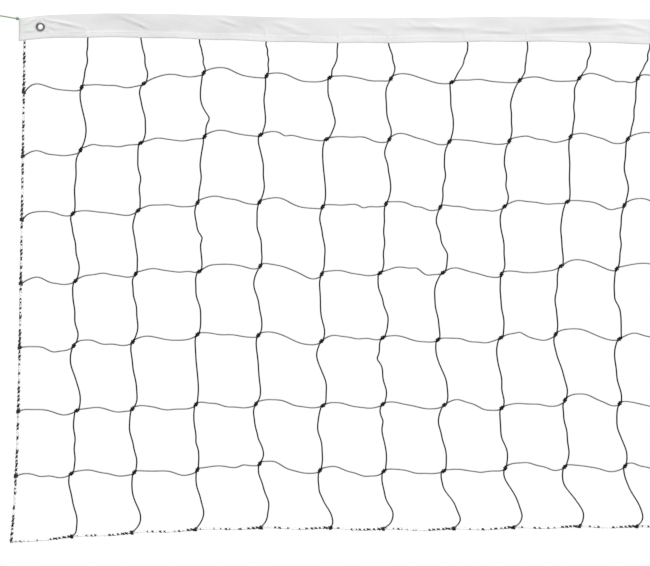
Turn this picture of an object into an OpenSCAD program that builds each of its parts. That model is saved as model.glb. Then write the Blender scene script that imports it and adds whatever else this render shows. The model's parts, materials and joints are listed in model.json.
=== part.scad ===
// Recreational court net with a vinyl headband, hung from its taut headline.
// Millimetres. +X runs along the net to its right end, +Z is up, and -Y is the front.
// The origin is the centre of the left end loop, where the net is held.

/* [Net] */
// Length of the headband, end to end
net_length = 9500; // [4000:100:12000]
// Mesh cells along the length
columns = 86; // [20:1:110]
// Height of one mesh cell
mesh_height = 113.5; // [90:0.5:130]
// First row of knots, below the top edge of the headband
first_row_drop = 118; // [80:1:140]

/* [Twine and cords] */
// Diameter of the black knotted twine
twine_d = 3; // [1.4:0.1:3]
// Diameter of the white cord round the sides and the bottom
border_d = 3; // [2:0.1:3.1]
// Diameter of the green headline
headline_d = 2.5; // [1.8:0.1:3]
// Length of one diagonal knot
knot_length = 10; // [7:0.5:10]
// Diameter of one diagonal knot
knot_d = 5.6; // [4:0.1:5.6]

/* [Headband] */
// Height of the folded headband
band_height = 45; // [40:1:60]
// Thickness of one layer of vinyl
vinyl = 0.9; // [0.5:0.1:1.2]
// Clear gap between the two layers of the fold
fold_gap = 3.2; // [3.2:0.1:4]
// Height of the turned-up hem at the bottom of the headband
hem_height = 6; // [4:0.5:7]

/* [Eyelets] */
// Diameter of the hole through an eyelet
eyelet_hole = 9.2; // [6:0.1:11]
// Outer diameter of the flange and of the washer
eyelet_d = 16.5; // [15:0.5:20]
// Thickness of the eyelet's sheet metal
eyelet_sheet = 0.4; // [0.3:0.05:0.6]
// Eyelet centre, from the end of the headband
eyelet_inset = 38.5; // [20:0.5:60]
// Eyelet centre, below the top edge of the headband
eyelet_drop = 21; // [14:0.5:21]

/* [End loops] */
// Radius of an end loop's centreline
loop_radius = 14; // [12:0.5:16]

/* [Hidden] */
$fn = 48;
rim = 0.05;  // clearance between pieces of one body that fit round each other
rows = 8;  // rows of knots below the headband, the bottom border included
twine_r = twine_d / 2;
border_r = border_d / 2;

// An end loop's centre lies this far beyond the headband, and this far above the headline in the fold.
tail_run = 78;
tail_rise = 13;
band_start = tail_run;
band_end = tail_run + net_length;
right_loop_x = band_end + tail_run;
headline_z = -tail_rise;
band_half = fold_gap / 2 + vinyl;
band_top = headline_z + band_half;
band_bottom = band_top - band_height;

border_inset = 10;
// The columns of the mesh are spaced evenly between two lines this far in from the ends of the headband.
column_margin = 2;
mesh_width = (net_length - 2 * column_margin) / columns;
border_left = band_start + border_inset;
border_right = band_end - border_inset;
head_twine_z = band_bottom + hem_height + 4;
barrel_outer = eyelet_hole / 2 + eyelet_sheet;
flange = 0.8;

// Every row of the mesh folds about its own line of knots, and the first one just under the headband.
band_fold_drop = 2;
function row_z(k) =
    k == 0 ? band_bottom - band_fold_drop : band_top - first_row_drop - (k - 1) * mesh_height;
function column_x(c) = band_start + column_margin + c * mesh_width;

knot_reach = (knot_length + knot_d) / 2 * cos(45);
leg_clear = knot_reach + 1.5;
cord_clear = border_r + 2.5;
foot_gap = 0.3;  // an upright twine ends this far above the level one, inside their knot
lacing_pitch = 8;

// Route of a tail, from the headband's end outwards to its knot: [outwards, up].
tail_route = [
    [0, 0], [4, 0.3], [8, 0.8], [12, 1.5], [16, 2.2], [20, 2.9], [24, 3.6], [28, 4.3],
    [32, 4.9], [36, 5.6], [40, 6.3], [44, 7], [48, 7.7], [52, 8.4], [56, 9]
];
tail_sides = 8;
loop_knot_length = 10;
loop_knot_d = 7;

// ---------- shared shapes ----------

// A straight cord along X from x0 to x1 at height z.
module cord_along(x0, x1, z, r) {
    translate([x0, 0, z])
        rotate([0, 90, 0])
            cylinder(r = r, h = x1 - x0);
}

// A straight cord hanging from z1 down to z0.
module cord_down(x, z0, z1, r) {
    translate([x, 0, z0])
        cylinder(r = r, h = z1 - z0);
}

// One turn of lacing twine round a cord that runs along Z.
module lacing_turn(cord_r) {
    rotate_extrude()
        translate([cord_r + rim + twine_r, 0])
            circle(r = twine_r);
}

// Puts its children at the left end, and mirrored at the right end.
module at_both_ends() {
    children();
    translate([band_start + band_end, 0, 0])
        mirror([1, 0, 0])
            children();
}

// ---------- headline ----------

// The green cord inside the fold of the headband.
module headline() {
    color("#7d9470")
        cord_along(band_start, band_end, headline_z, headline_d / 2);
}

function tail_tangent(i) =
    let (a = tail_route[max(i - 1, 0)], b = tail_route[min(i + 1, len(tail_route) - 1)])
    (b - a) / norm(b - a);

function tail_ring(i) =
    let (t = tail_tangent(i), across = [-t[1], t[0]])
    [for (s = [0 : tail_sides - 1])
        let (a = 360 * (s + 0.5) / tail_sides, r = headline_d / 2)
        [tail_route[i][0] + across[0] * r * cos(a), r * sin(a), tail_route[i][1] + across[1] * r * cos(a)]];

// One tail, swept outwards along its route as a closed tube.
module tail_tube() {
    last = len(tail_route) - 1;
    points = [for (i = [0 : last]) each tail_ring(i)];
    walls = [for (i = [0 : last - 1]) for (s = [0 : tail_sides - 1])
        let (next = (s + 1) % tail_sides)
        [i * tail_sides + s, (i + 1) * tail_sides + s, (i + 1) * tail_sides + next, i * tail_sides + next]];
    near_end = [for (s = [0 : tail_sides - 1]) s];
    far_end = [for (s = [tail_sides - 1 : -1 : 0]) last * tail_sides + s];
    polyhedron(points = points, faces = concat(walls, [near_end, far_end]));
}

// A tail of the right end, which is also the shape of the left one before mirroring.
module tail() {
    color("#7d9470")
        translate([band_end, 0, headline_z])
            tail_tube();
}

module headline_tail_right() {
    tail();
}

module headline_tail_left() {
    translate([band_start + band_end, 0, 0])
        mirror([1, 0, 0])
            tail();
}

// The loop tied in the end of a tail, with its knot.
module end_loop(x, outwards) {
    knot_end = tail_route[len(tail_route) - 1];
    slope = atan2(tail_rise - knot_end[1], tail_run - knot_end[0]);
    color("#7d9470")
        union() {
            translate([x, 0, 0])
                rotate([90, 0, 0])
                    rotate_extrude()
                        translate([loop_radius, 0])
                            circle(r = headline_d / 2);
            translate([x - outwards * (tail_run - knot_end[0]), 0, knot_end[1] - tail_rise])
                rotate([0, outwards * (90 - slope), 0])
                    cylinder(d = loop_knot_d, h = loop_knot_length);
        }
}

module end_loop_left() {
    end_loop(0, -1);
}

module end_loop_right() {
    end_loop(right_loop_x, 1);
}

// ---------- headband ----------

// One wall of the fold as a section: X is the depth and Y the height, from the headline's centre.
module fold_section() {
    inner = fold_gap / 2;
    difference() {
        union() {
            circle(r = band_half);
            translate([-band_half, -(band_height - band_half)])
                square([2 * band_half, band_height - band_half]);
            translate([-band_half - vinyl, -(band_height - band_half)])
                square([2 * (band_half + vinyl), hem_height]);
        }
        circle(r = inner);
        translate([-inner, -band_height])
            square([2 * inner, band_height]);
    }
}

// The white vinyl strip, folded over the headline, with a turned-up hem and a hole for each eyelet.
module headband() {
    color("#efefef")
        difference() {
            translate([band_start, 0, headline_z])
                rotate([90, 0, 90])
                    linear_extrude(net_length)
                        fold_section();
            at_both_ends()
                translate([band_start + eyelet_inset, band_half + 1, band_top - eyelet_drop])
                    rotate([90, 0, 0])
                        cylinder(r = barrel_outer + rim, h = 2 * (band_half + 1));
        }
}

// The sewing thread along the top of the hem, in front and behind.
module hem_stitching() {
    thread_r = 0.35;
    color("#e2e2e0")
        for (side = [-1, 1])
            translate([0, side * (band_half + thread_r + rim), 0])
                cord_along(band_start + 3, band_end - 3, band_bottom + hem_height + thread_r + rim, thread_r);
}

// A pressed eyelet: a flange in front and a barrel through both layers, round one open hole.
module eyelet(x) {
    reach = band_half + 2 * flange;
    color("#77787a")
        translate([x, 0, band_top - eyelet_drop])
            rotate([90, 0, 0])
                difference() {
                    union() {
                        translate([0, 0, band_half + rim])
                            cylinder(d = eyelet_d, h = flange);
                        translate([0, 0, -reach])
                            cylinder(r = barrel_outer, h = reach + band_half + rim + flange);
                    }
                    translate([0, 0, -reach - 1])
                        cylinder(d = eyelet_hole, h = 2 * reach + 2);
                }
}

// The washer that the barrel is spread over at the back.
module eyelet_washer(x) {
    color("#77787a")
        translate([x, 0, band_top - eyelet_drop])
            rotate([-90, 0, 0])
                translate([0, 0, band_half + rim])
                    difference() {
                        cylinder(d = eyelet_d, h = flange);
                        translate([0, 0, -1])
                            cylinder(r = barrel_outer + rim, h = flange + 2);
                    }
}

module eyelet_left() {
    eyelet(band_start + eyelet_inset);
}

module eyelet_right() {
    eyelet(band_end - eyelet_inset);
}

module eyelet_washer_left() {
    eyelet_washer(band_start + eyelet_inset);
}

module eyelet_washer_right() {
    eyelet_washer(band_end - eyelet_inset);
}

// The top line of the netting, sewn in between the two layers.
module head_twine() {
    color("#1c1c1e")
        cord_along(border_left, border_right, head_twine_z, twine_r);
}

// The ends of the mesh twine and of the side cords, where they go up into the fold.
module head_loops() {
    top = head_twine_z - twine_r;
    color("#1c1c1e") {
        for (c = [1 : columns - 1])
            cord_down(column_x(c), band_bottom, top, twine_r);
        for (x = [border_left, border_right])
            cord_down(x, band_bottom, top, border_r);
    }
}

// ---------- netting ----------

// The upright twines of row k, which hang from the row above and end on the row's own line.
module mesh_legs(k) {
    top = k == 1 ? row_z(0) - 1.5 : row_z(k - 1) - leg_clear;
    foot = row_z(k) + (k == rows ? border_r : twine_r) + foot_gap;
    color("#1c1c1e")
        for (c = [1 : columns - 1])
            cord_down(column_x(c), foot, top, twine_r);
}

// The level twine of row k, from one side cord to the other.
module mesh_row(k) {
    color("#242426")
        cord_along(border_left + border_r + rim, border_right - border_r - rim, row_z(k), twine_r);
}

// The diagonal knots of row k, each drawn tight round the crossing of an upright and a level twine.
module mesh_knots(k) {
    color("#121214")
        for (c = [1 : columns - 1])
            translate([column_x(c), 0, row_z(k)])
                rotate([0, 45, 0])
                    cylinder(d = knot_d, h = knot_length, center = true);
}

// The white side cords of row k, left and right.
module side_cords(k) {
    top = k == 1 ? row_z(0) - 1.5 : row_z(k - 1) - cord_clear;
    foot = row_z(k) + (k == rows ? border_r + rim : -border_r);
    color("#f4f4f2")
        for (x = [border_left, border_right])
            cord_down(x, foot, top, border_r);
}

// The turn of twine that laces the end of row k to each side cord, above the place where it joins.
module side_lacing(k) {
    color("#1c1c1e")
        for (x = [border_left, border_right])
            translate([x, 0, row_z(k) + lacing_pitch])
                lacing_turn(border_r);
}

// The white cord along the bottom.
module bottom_cord() {
    color("#f4f4f2")
        cord_along(border_left - border_r, border_right + border_r, row_z(rows), border_r);
}

// The turns of twine that lace the mesh to the bottom cord, one beside each upright twine.
module bottom_lacing() {
    color("#1c1c1e")
        for (c = [1 : columns - 1])
            translate([column_x(c) - lacing_pitch, 0, row_z(rows)])
                rotate([0, 90, 0])
                    lacing_turn(border_r);
}

// ---------- nodes ----------

headline();
headline_tail_left();
headline_tail_right();
end_loop_left();
end_loop_right();
headband();
hem_stitching();
eyelet_left();
eyelet_right();
eyelet_washer_left();
eyelet_washer_right();
head_twine();
head_loops();
mesh_legs(1);  // mesh_legs_1
mesh_legs(2);  // mesh_legs_2
mesh_legs(3);  // mesh_legs_3
mesh_legs(4);  // mesh_legs_4
mesh_legs(5);  // mesh_legs_5
mesh_legs(6);  // mesh_legs_6
mesh_legs(7);  // mesh_legs_7
mesh_legs(8);  // mesh_legs_8
mesh_row(1);  // mesh_row_1
mesh_row(2);  // mesh_row_2
mesh_row(3);  // mesh_row_3
mesh_row(4);  // mesh_row_4
mesh_row(5);  // mesh_row_5
mesh_row(6);  // mesh_row_6
mesh_row(7);  // mesh_row_7
mesh_knots(1);  // mesh_knots_1
mesh_knots(2);  // mesh_knots_2
mesh_knots(3);  // mesh_knots_3
mesh_knots(4);  // mesh_knots_4
mesh_knots(5);  // mesh_knots_5
mesh_knots(6);  // mesh_knots_6
mesh_knots(7);  // mesh_knots_7
mesh_knots(8);  // mesh_knots_8
side_cords(1);  // side_cords_1
side_cords(2);  // side_cords_2
side_cords(3);  // side_cords_3
side_cords(4);  // side_cords_4
side_cords(5);  // side_cords_5
side_cords(6);  // side_cords_6
side_cords(7);  // side_cords_7
side_cords(8);  // side_cords_8
side_lacing(1);  // side_lacing_1
side_lacing(2);  // side_lacing_2
side_lacing(3);  // side_lacing_3
side_lacing(4);  // side_lacing_4
side_lacing(5);  // side_lacing_5
side_lacing(6);  // side_lacing_6
side_lacing(7);  // side_lacing_7
side_lacing(8);  // side_lacing_8
bottom_cord();
bottom_lacing();
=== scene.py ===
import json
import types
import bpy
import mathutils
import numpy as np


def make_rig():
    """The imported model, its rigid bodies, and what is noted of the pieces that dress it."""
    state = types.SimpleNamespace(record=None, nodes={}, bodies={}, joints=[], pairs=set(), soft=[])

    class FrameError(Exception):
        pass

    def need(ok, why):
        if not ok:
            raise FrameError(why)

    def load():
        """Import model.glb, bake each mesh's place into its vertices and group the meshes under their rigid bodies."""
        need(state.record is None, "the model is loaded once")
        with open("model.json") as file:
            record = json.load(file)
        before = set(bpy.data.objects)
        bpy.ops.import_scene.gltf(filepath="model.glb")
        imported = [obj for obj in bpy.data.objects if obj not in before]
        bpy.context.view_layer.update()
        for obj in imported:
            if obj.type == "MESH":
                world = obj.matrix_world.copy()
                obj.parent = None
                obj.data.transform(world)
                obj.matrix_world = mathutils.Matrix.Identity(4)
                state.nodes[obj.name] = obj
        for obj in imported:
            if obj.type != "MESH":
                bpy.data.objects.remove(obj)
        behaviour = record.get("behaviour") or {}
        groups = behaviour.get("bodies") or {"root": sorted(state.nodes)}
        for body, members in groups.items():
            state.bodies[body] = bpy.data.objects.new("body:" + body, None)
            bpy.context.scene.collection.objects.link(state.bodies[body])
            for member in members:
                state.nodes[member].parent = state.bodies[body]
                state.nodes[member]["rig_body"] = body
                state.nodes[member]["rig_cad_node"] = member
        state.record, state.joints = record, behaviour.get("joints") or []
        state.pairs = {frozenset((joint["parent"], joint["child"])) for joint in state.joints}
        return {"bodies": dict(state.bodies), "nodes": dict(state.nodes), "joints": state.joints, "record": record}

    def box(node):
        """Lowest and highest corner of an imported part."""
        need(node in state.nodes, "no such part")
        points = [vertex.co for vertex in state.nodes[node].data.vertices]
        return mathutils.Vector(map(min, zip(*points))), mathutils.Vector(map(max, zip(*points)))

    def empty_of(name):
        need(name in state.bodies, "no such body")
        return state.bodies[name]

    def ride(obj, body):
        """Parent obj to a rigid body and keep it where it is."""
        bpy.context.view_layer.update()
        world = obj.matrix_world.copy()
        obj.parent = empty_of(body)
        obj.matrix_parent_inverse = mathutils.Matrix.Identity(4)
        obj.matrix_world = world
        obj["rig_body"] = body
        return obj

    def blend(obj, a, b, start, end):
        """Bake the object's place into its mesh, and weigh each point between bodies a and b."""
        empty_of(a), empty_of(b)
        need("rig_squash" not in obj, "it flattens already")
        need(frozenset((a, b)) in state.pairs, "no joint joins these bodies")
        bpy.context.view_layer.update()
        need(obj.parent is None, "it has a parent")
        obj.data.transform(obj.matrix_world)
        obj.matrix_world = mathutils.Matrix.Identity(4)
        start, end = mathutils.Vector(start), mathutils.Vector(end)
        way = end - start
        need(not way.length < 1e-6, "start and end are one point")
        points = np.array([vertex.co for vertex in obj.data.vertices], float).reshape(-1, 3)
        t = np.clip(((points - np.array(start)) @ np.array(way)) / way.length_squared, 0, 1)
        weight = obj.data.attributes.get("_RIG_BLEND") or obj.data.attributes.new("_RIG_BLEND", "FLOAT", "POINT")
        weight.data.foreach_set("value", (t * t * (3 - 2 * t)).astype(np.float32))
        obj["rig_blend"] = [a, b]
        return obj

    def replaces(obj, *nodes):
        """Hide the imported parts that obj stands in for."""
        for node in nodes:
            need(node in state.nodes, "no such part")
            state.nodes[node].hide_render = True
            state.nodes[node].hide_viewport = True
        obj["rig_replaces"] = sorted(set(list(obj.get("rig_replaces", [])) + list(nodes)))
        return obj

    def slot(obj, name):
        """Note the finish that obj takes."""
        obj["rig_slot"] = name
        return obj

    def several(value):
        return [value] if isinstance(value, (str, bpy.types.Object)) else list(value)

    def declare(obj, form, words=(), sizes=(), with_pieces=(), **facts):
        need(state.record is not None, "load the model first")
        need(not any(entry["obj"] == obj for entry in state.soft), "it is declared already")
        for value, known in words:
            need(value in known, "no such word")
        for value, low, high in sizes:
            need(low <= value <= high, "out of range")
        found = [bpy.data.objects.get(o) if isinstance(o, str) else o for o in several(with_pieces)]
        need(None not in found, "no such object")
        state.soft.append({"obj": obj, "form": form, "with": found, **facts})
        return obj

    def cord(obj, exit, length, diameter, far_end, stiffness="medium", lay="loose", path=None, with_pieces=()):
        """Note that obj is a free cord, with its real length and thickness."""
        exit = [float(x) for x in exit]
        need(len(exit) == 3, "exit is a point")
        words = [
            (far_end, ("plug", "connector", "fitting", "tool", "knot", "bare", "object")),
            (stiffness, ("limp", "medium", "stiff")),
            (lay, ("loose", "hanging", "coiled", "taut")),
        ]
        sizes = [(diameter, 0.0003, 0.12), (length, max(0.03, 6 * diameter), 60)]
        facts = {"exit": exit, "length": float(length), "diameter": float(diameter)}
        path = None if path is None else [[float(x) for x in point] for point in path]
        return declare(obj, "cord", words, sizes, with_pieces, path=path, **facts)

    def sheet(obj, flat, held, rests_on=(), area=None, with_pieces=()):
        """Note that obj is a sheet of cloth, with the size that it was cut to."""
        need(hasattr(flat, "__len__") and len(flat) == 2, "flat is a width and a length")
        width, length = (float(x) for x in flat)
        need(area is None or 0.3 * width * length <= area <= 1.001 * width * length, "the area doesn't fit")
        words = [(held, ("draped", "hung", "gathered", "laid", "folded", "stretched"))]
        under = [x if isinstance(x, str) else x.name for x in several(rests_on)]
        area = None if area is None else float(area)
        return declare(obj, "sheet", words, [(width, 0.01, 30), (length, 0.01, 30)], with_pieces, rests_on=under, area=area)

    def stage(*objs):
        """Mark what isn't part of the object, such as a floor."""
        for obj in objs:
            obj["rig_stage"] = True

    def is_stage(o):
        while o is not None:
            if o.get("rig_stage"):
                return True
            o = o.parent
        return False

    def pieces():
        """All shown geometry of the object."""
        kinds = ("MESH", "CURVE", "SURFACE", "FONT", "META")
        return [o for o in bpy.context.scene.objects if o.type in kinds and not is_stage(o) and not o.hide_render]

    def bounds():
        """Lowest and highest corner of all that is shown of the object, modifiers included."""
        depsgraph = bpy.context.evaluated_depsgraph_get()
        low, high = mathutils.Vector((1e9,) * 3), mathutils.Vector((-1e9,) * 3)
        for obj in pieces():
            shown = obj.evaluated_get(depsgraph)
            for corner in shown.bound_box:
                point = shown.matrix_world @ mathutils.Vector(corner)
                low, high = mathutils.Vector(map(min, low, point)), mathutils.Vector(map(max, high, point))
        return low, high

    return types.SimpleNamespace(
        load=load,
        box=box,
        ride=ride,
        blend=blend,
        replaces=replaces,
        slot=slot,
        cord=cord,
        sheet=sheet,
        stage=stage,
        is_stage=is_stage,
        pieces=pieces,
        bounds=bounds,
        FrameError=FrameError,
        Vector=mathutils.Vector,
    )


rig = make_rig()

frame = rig.load()

import json
import math
import random

import bmesh
import bpy
import numpy as np

# The looks of a court net with a vinyl headband. Metres; +X along the net, +Z up, -Y the front.

CAD_LOW, CAD_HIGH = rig.bounds()
BAND_LOW, BAND_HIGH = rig.box("headband")
BAND_LENGTH = BAND_HIGH.x - BAND_LOW.x
BAND_HEIGHT = BAND_HIGH.z - BAND_LOW.z
JOINTS = {joint["name"]: joint for joint in frame["record"]["behaviour"]["joints"]}
MOUNTS = {mount["name"]: mount for mount in frame["record"]["mounts"]}

COLUMNS = 86
ROWS = 8
TWINE_R = 0.0015
LEGS_LOW, LEGS_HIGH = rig.box("mesh_legs_1")
CELL = (LEGS_HIGH.x - LEGS_LOW.x - 2 * TWINE_R) / (COLUMNS - 2)
SIDE_LOW, SIDE_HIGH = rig.box("side_cords_1")
BORDER_R = (SIDE_HIGH.y - SIDE_LOW.y) / 2
SIDES_X = (SIDE_LOW.x + BORDER_R, SIDE_HIGH.x - BORDER_R)
BOTTOM_Z = (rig.box("bottom_cord")[0].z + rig.box("bottom_cord")[1].z) / 2
HEAD_Z = (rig.box("head_twine")[0].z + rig.box("head_twine")[1].z) / 2
HEADLINE_Z = JOINTS["headband_swing"]["pos_m"][2]
# The height of each fold line: the first just under the headband, then each row of knots. The last is the
# bottom cord.
FOLD_Z = [JOINTS[f"mesh_fold_{k}"]["pos_m"][2] for k in range(1, ROWS + 1)] + [BOTTOM_Z]

HEADLINE_R = 0.00125
KNOT_HALF = 0.0040
# How far behind a knot's middle its level twines lie, and how far in front of it the upright ones.
STRAND_STEP = 0.0009
LACING_PITCH = 0.008
VINYL_THICKNESS = 0.0008
HEM_TURN = 0.006

# Each row of knots, and each set of twines, has its own seed. A search over many seeds found these: they hang
# the net much like the one in the photo. Any others hang it as well, with its knots and bends elsewhere.
KNOT_SEEDS = (291822, 941959, 197929, 812912, 257744, 554568, 971316)
EXIT_SEED = 140007
HITCH_SEED = 150656
LEVEL_SEEDS = (7155, 5782, 20779, 13919, 20283, 23567, 3905)
UPRIGHT_SEEDS = (1370, 19092, 18406, 7844, 3276, 5784, 16663, 8612)

# The free part of the headline, from the headband's end outwards: (outwards, up).
TAIL_ROUTE = [
    (0, 0), (0.004, 0.0003), (0.008, 0.0008), (0.012, 0.0015), (0.016, 0.0022),
    (0.020, 0.0029), (0.024, 0.0036), (0.028, 0.0043), (0.032, 0.0049), (0.036, 0.0056),
    (0.040, 0.0063), (0.044, 0.0070), (0.048, 0.0077), (0.052, 0.0084), (0.056, 0.0090),
]


def column_x(c):
    """Where column c of the straight grid is. Column 0 lies a little inside the headband's left end."""
    return LEGS_LOW.x + TWINE_R + (c - 1) * CELL


# ---------- camera ----------

IMAGE_WIDTH, IMAGE_HEIGHT = 650, 566
# The part of the net in view: this many columns of mesh, with a margin to the left and one above.
VIEW_COLUMNS = 10.484
MARGIN_LEFT_OF_NET = 0.0356
MARGIN_OVER_HEADLINE = 0.0331
CAMERA_DISTANCE = 8.0


def add_camera():
    """A long lens square to the net's left end, so that the mesh shows almost without perspective."""
    view_width = VIEW_COLUMNS * CELL
    view_height = view_width * IMAGE_HEIGHT / IMAGE_WIDTH
    centre_x = column_x(0) + view_width / 2 - MARGIN_LEFT_OF_NET
    centre_z = HEADLINE_Z + MARGIN_OVER_HEADLINE - view_height / 2
    data = bpy.data.cameras.new("camera")
    data.lens = data.sensor_width * CAMERA_DISTANCE / view_width
    data.clip_end = 50 * CAMERA_DISTANCE
    camera = bpy.data.objects.new("camera", data)
    camera.location = (centre_x, -CAMERA_DISTANCE, centre_z)
    camera.rotation_euler = (math.radians(90), 0, 0)
    bpy.context.collection.objects.link(camera)
    bpy.context.scene.camera = camera


add_camera()


# ---------- materials ----------

class Nodes:
    """A material's node tree, with short calls for the nodes that these materials use."""

    def __init__(self, name):
        self.material = bpy.data.materials.new(name)
        self.material.use_nodes = True
        self.tree = self.material.node_tree
        self.shader = self.tree.nodes["Principled BSDF"]

    def add(self, kind, **settings):
        node = self.tree.nodes.new(kind)
        for key, value in settings.items():
            setattr(node, key, value)
        return node

    def link(self, source, target):
        self.tree.links.new(source, target)

    def value(self, socket, value):
        self.shader.inputs[socket].default_value = value

    def places(self):
        """Positions in metres, which don't depend on any unwrapping."""
        return self.add("ShaderNodeTexCoord").outputs["Object"]

    def noise(self, scale, detail=3.0, stretch=(1, 1, 1)):
        mapping = self.add("ShaderNodeMapping")
        mapping.inputs["Scale"].default_value = stretch
        self.link(self.places(), mapping.inputs["Vector"])
        noise = self.add("ShaderNodeTexNoise")
        noise.inputs["Scale"].default_value = scale
        noise.inputs["Detail"].default_value = detail
        self.link(mapping.outputs["Vector"], noise.inputs["Vector"])
        return noise.outputs["Fac"]

    def ramp(self, source, low, high, start=0.3, end=0.7):
        """Blends from low to high as source goes from start to end."""
        ramp = self.add("ShaderNodeValToRGB")
        ramp.color_ramp.elements[0].position = start
        ramp.color_ramp.elements[0].color = (*low, 1)
        ramp.color_ramp.elements[1].position = end
        ramp.color_ramp.elements[1].color = (*high, 1)
        self.link(source, ramp.inputs["Fac"])
        return ramp.outputs["Color"]

    def span(self, source, low, high):
        """Source, from 0 to 1, turned into low to high."""
        span = self.add("ShaderNodeMapRange")
        span.inputs["To Min"].default_value = low
        span.inputs["To Max"].default_value = high
        self.link(source, span.inputs["Value"])
        return span.outputs["Result"]

    def maths(self, operation, first, second=0):
        """One sum on one or two sockets or numbers."""
        node = self.add("ShaderNodeMath", operation=operation)
        for socket, value in zip(node.inputs, (first, second)):
            if isinstance(value, (int, float)):
                socket.default_value = value
            else:
                self.link(value, socket)
        return node.outputs["Value"]

    def strand_waves(self, turns_per_metre, strands):
        """Ridges that wind round a swept cord: UV's X is its length in metres and Y the way round it."""
        uv = self.add("ShaderNodeUVMap", uv_map="strand")
        split = self.add("ShaderNodeSeparateXYZ")
        self.link(uv.outputs["UV"], split.inputs["Vector"])
        along = self.maths("MULTIPLY", split.outputs["X"], turns_per_metre)
        phase = self.maths("ADD", along, split.outputs["Y"])
        half_turns = self.maths("MULTIPLY", phase, math.pi * strands)
        return self.maths("ABSOLUTE", self.maths("SINE", half_turns))

    def bump(self, height, distance, strength=1.0, under=None):
        bump = self.add("ShaderNodeBump")
        bump.inputs["Strength"].default_value = strength
        bump.inputs["Distance"].default_value = distance
        self.link(height, bump.inputs["Height"])
        if under is not None:
            self.link(under, bump.inputs["Normal"])
        return bump.outputs["Normal"]

    def finish(self, color, roughness, normal):
        self.link(color, self.shader.inputs["Base Color"])
        self.link(roughness, self.shader.inputs["Roughness"])
        self.link(normal, self.shader.inputs["Normal"])
        return self.material


def vinyl_material():
    """White coated fabric: faint woven grain under the coating, and grey handling marks."""
    nodes = Nodes("white_vinyl")
    marks = nodes.noise(14, detail=4, stretch=(0.6, 1, 1.6))
    color = nodes.ramp(marks, (0.70, 0.70, 0.705), (0.79, 0.79, 0.79), 0.32, 0.55)
    roughness = nodes.span(nodes.noise(60), 0.38, 0.55)
    grain = nodes.bump(nodes.noise(900, detail=2), 0.00006, 0.5)
    soft = nodes.bump(nodes.noise(55, detail=2, stretch=(0.7, 1, 1.2)), 0.0006, 0.5, under=grain)
    nodes.value("Specular IOR Level", 0.35)
    return nodes.finish(color, roughness, soft)


def twine_material(name, top):
    """Black twisted polyethylene twine, with a painted highlight: its upper side is painted towards the lighter colour
    top, which stands in for the overhead light's sheen.
    """
    nodes = Nodes(name)
    black = nodes.ramp(nodes.noise(260), (0.004, 0.004, 0.005), (0.013, 0.013, 0.014))
    # Painted highlight: a lighter colour near top, mixed in where the painted highlight attribute says.
    painted_sheen_color = nodes.ramp(nodes.noise(90), tuple(0.75 * part for part in top), top)
    dust = nodes.add("ShaderNodeAttribute", attribute_name="dust")
    mix = nodes.add("ShaderNodeMix", data_type="RGBA")
    nodes.link(dust.outputs["Fac"], mix.inputs["Factor"])
    nodes.link(black, mix.inputs["A"])
    nodes.link(painted_sheen_color, mix.inputs["B"])
    roughness = nodes.span(nodes.noise(500), 0.5, 0.65)
    nodes.value("Specular IOR Level", 0.15)
    twist = nodes.bump(nodes.strand_waves(170, 3), 0.00035, 0.7)
    return nodes.finish(mix.outputs["Result"], roughness, twist)


def braid_material(name, painted_groove_shade, light):
    """A fine braided cord: ridges wind round it both ways. Its colour has painted shade: darker in the grooves between
    the ridges and lighter on their crests.
    """
    nodes = Nodes(name)
    ridges = nodes.maths("MAXIMUM", nodes.strand_waves(140, 4), nodes.strand_waves(-140, 4))
    # Painted shade: the colour darkens into the grooves between the braid's ridges.
    color = nodes.ramp(ridges, painted_groove_shade, light, 0.25, 0.8)
    roughness = nodes.span(nodes.noise(400), 0.55, 0.75)
    nodes.value("Sheen Weight", 0.25)
    return nodes.finish(color, roughness, nodes.bump(ridges, 0.0003, 0.6))


def metal_material():
    """Dull grey plated steel with fine scratches and darker tarnish."""
    nodes = Nodes("eyelet_metal")
    color = nodes.ramp(nodes.noise(300, detail=5), (0.16, 0.16, 0.165), (0.36, 0.36, 0.37))
    roughness = nodes.span(nodes.noise(900, stretch=(1, 1, 6)), 0.28, 0.5)
    nodes.value("Metallic", 1.0)
    return nodes.finish(color, roughness, nodes.bump(nodes.noise(1200), 0.00004, 0.4))


def thread_material():
    """White two-ply sewing thread."""
    nodes = Nodes("white_thread")
    color = nodes.ramp(nodes.noise(700), (0.74, 0.74, 0.73), (0.84, 0.84, 0.83))
    roughness = nodes.span(nodes.noise(500), 0.5, 0.7)
    return nodes.finish(color, roughness, nodes.bump(nodes.strand_waves(900, 2), 0.0001, 0.6))


def floor_material():
    """A matt pale grey floor."""
    nodes = Nodes("pale_floor")
    color = nodes.ramp(nodes.noise(3), (0.48, 0.48, 0.48), (0.52, 0.52, 0.52))
    roughness = nodes.span(nodes.noise(8), 0.6, 0.8)
    return nodes.finish(color, roughness, nodes.bump(nodes.noise(40), 0.001, 0.2))


VINYL = vinyl_material()
# Each twine's second colour is its painted highlight, laid on its upper side in place of the overhead light's sheen.
TWINE = twine_material("black_twine", (0.42, 0.42, 0.425))
LACING_TWINE = twine_material("black_lacing", (0.05, 0.05, 0.052))
# Each braid's first colour is the painted shade in its grooves.
WHITE_CORD = braid_material("white_cord", (0.84, 0.84, 0.835), (0.95, 0.95, 0.945))
GREEN_CORD = braid_material("green_cord", (0.10, 0.19, 0.095), (0.21, 0.33, 0.19))
METAL = metal_material()
THREAD = thread_material()


# ---------- swept cords ----------

BACKWARDS = np.array([0.0, 1.0, 0.0])


def unit(vectors):
    """Each vector at a length of 1."""
    return vectors / np.maximum(np.linalg.norm(vectors, axis=-1, keepdims=True), 1e-12)


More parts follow.
